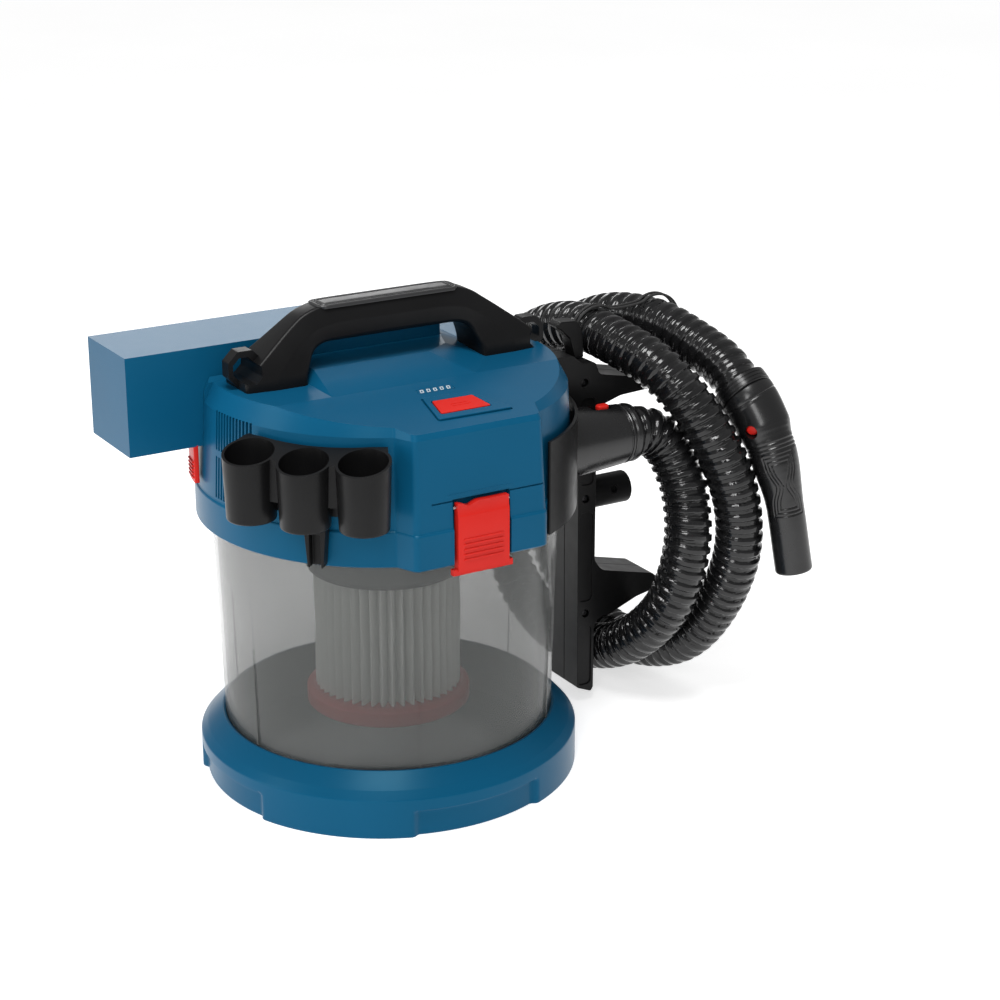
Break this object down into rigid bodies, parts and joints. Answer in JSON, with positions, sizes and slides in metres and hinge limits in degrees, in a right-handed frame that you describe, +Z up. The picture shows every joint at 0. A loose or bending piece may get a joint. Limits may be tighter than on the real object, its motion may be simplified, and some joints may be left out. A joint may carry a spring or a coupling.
{
  "type": "shop vacuum",
  "caption": "Cordless wet and dry vacuum: smoked tub on a round base, lift-off motor head with carry handle, latches, battery lid and side hose holder.",
  "frame": {"origin": "middle of the base's flat underside, on the axis of the round tub", "axes": "+Z up along the tub's axis, -Y towards the front latch, +X towards the hose inlet and holder"},
  "size_m": [0.5063, 0.3546, 0.3846],
  "materials": {
    "blue": "fine moulded texture",
    "red": "satin",
    "black": "satin moulded",
    "grip": "soft grooved grip",
    "smoke": "smoked clear plastic",
    "dark": "matt",
    "paper": "pleated filter paper",
    "rubber": "matt",
    "hose": "glossy ribbed",
    "steel": "plain",
    "copper": "copper",
    "board": "lacquered board",
    "light": "milky"
  },
  "bodies": {
    "tub": {"base_ring": "blue", "container": "smoke"},
    "head": {"head_shell": "blue", "latch_pin_front": "steel", "latch_pin_rear": "steel", "button_bezel": "blue", "power_switch": "dark", "charge_lights": "light", "carry_handle": "black", "grip_pad": "grip", "handle_screw_1": "steel", "handle_screw_2": "steel", "handle_screw_3": "steel", "handle_screw_4": "steel", "motor_plate": "dark", "rim_seal": "rubber", "inlet_duct": "dark", "fan_housing": "dark", "motor_can": "steel", "motor_magnets": "dark", "battery_bay": "dark", "battery_pack": "black", "battery_contacts": "copper", "control_board": "board", "filter_pleats": "paper", "filter_collar": "dark", "filter_cap": "red", "filter_cage": "dark", "nozzle_holder": "black", "brush_clip": "black", "inlet_flange": "black", "hose_connector": "black", "connector_cuff": "black", "hose": "hose", "nozzle_cuff": "black", "hand_nozzle": "black", "holder_front": "black", "holder_rear": "black", "holder_screw_1": "steel", "holder_screw_2": "steel", "holder_screw_3": "steel", "hose_strap": "rubber", "strap_hook": "black"},
    "lid": {"battery_lid": "blue"},
    "lid_catch": {"lid_latch": "red"},
    "front_latch": {"latch_front": "red"},
    "rear_latch": {"latch_rear": "red"},
    "button": {"power_button": "red"},
    "rotor": {"motor_shaft": "steel", "motor_armature": "copper", "fan_impeller": "dark"},
    "float": {"float_cup": "light"},
    "connector_button": {"connector_release": "red"},
    "nozzle_button": {"nozzle_release": "red"}
  },
  "joints": [
    {"name": "head_lift", "type": "slide", "parent": "tub", "child": "head", "axis": [0, 0, 1], "range_m": [0, 0.2]},
    {"name": "lid_open", "type": "hinge", "parent": "head", "child": "lid", "pos_m": [0.0655, 0.0585, 0.336], "axis": [0, 1, 0], "range_deg": [0, 95]},
    {"name": "lid_catch_release", "type": "hinge", "parent": "lid", "child": "lid_catch", "pos_m": [-0.14752, 0.0327, 0.2796], "axis": [0.2164, 0.9763, 0], "range_deg": [0, 22], "stiffness_Nm_per_rad": 0.15, "springref_deg": -8.59},
    {"name": "front_latch_swing", "type": "hinge", "parent": "head", "child": "front_latch", "pos_m": [0, -0.147, 0.2595], "axis": [-1, 0, 0], "range_deg": [0, 85]},
    {"name": "rear_latch_swing", "type": "hinge", "parent": "head", "child": "rear_latch", "pos_m": [0, 0.147, 0.2595], "axis": [1, 0, 0], "range_deg": [0, 85]},
    {"name": "power_press", "type": "slide", "parent": "head", "child": "button", "axis": [0, 0.1257, -0.9921], "range_m": [0, 0.002], "stiffness_N_per_m": 400, "springref_m": -0.002},
    {"name": "motor_spin", "type": "hinge", "parent": "head", "child": "rotor", "pos_m": [0, -0.018, 0.27], "axis": [0, 0, 1], "continuous": true},
    {"name": "float_lift", "type": "slide", "parent": "head", "child": "float", "axis": [0, 0, 1], "range_m": [0, 0.02]},
    {"name": "connector_press", "type": "slide", "parent": "head", "child": "connector_button", "axis": [0, 0, -1], "range_m": [0, 0.0018], "stiffness_N_per_m": 300, "springref_m": -0.002},
    {"name": "nozzle_press", "type": "slide", "parent": "head", "child": "nozzle_button", "axis": [0.7226, 0.6222, 0.3011], "range_m": [0, 0.0018], "stiffness_N_per_m": 300, "springref_m": -0.002}
  ]
}
